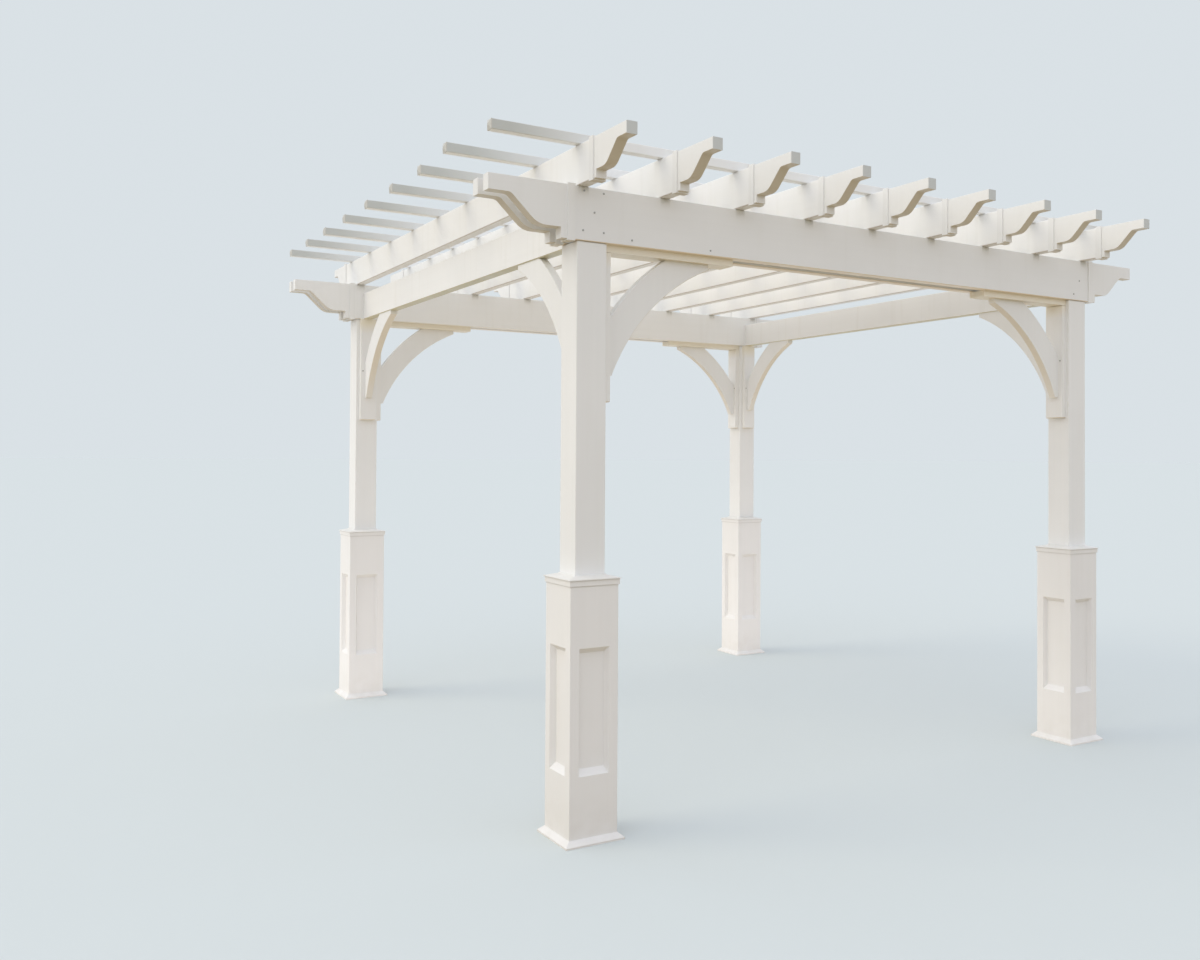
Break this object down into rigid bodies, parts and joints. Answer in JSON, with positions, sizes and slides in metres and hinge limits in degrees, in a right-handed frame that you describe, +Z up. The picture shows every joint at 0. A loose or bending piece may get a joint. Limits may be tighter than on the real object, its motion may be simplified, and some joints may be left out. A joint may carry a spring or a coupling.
{
  "type": "pergola",
  "caption": "Freestanding square pergola with panelled post wraps, ogee-tipped header boards and rafters, arched knee braces and a top layer of slim slats.",
  "frame": {"origin": "on the ground in the middle between the posts", "axes": "+X along the headers to the right seen from the front, +Y from the front to the back, +Z up"},
  "size_m": [3.688, 3.6618, 2.6287],
  "materials": {
    "post_vinyl": "satin white vinyl",
    "wrap_vinyl": "satin white vinyl",
    "header_vinyl": "satin white vinyl",
    "tip_vinyl": "satin white vinyl",
    "brace_vinyl": "satin white vinyl",
    "rafter_vinyl": "satin white vinyl",
    "slat_vinyl": "satin white vinyl",
    "screws": "dull stainless screw heads"
  },
  "bodies": {
    "root": {"post_front_left": "post_vinyl", "post_front_right": "post_vinyl", "post_rear_left": "post_vinyl", "post_rear_right": "post_vinyl", "post_wrap_front_left": "wrap_vinyl", "post_wrap_front_right": "wrap_vinyl", "post_wrap_rear_left": "wrap_vinyl", "post_wrap_rear_right": "wrap_vinyl", "wrap_caps": "wrap_vinyl", "header_front_outer": "header_vinyl", "header_front_inner": "header_vinyl", "header_rear_outer": "header_vinyl", "header_rear_inner": "header_vinyl", "header_tips": "tip_vinyl", "side_beam_left": "header_vinyl", "side_beam_right": "header_vinyl", "header_brace_front_left": "brace_vinyl", "header_brace_front_right": "brace_vinyl", "header_brace_rear_left": "brace_vinyl", "header_brace_rear_right": "brace_vinyl", "side_brace_front_left": "brace_vinyl", "side_brace_front_right": "brace_vinyl", "side_brace_rear_left": "brace_vinyl", "side_brace_rear_right": "brace_vinyl", "brace_plates": "brace_vinyl", "rafter_1": "rafter_vinyl", "rafter_2": "rafter_vinyl", "rafter_3": "rafter_vinyl", "rafter_4": "rafter_vinyl", "rafter_5": "rafter_vinyl", "rafter_6": "rafter_vinyl", "rafter_7": "rafter_vinyl", "rafter_8": "rafter_vinyl", "rafter_9": "rafter_vinyl", "rafter_tips": "tip_vinyl", "slat_1": "slat_vinyl", "slat_2": "slat_vinyl", "slat_3": "slat_vinyl", "slat_4": "slat_vinyl", "slat_5": "slat_vinyl", "slat_6": "slat_vinyl", "slat_7": "slat_vinyl", "slat_8": "slat_vinyl", "slat_9": "slat_vinyl", "slat_caps": "slat_vinyl"}
  },
  "joints": []
}
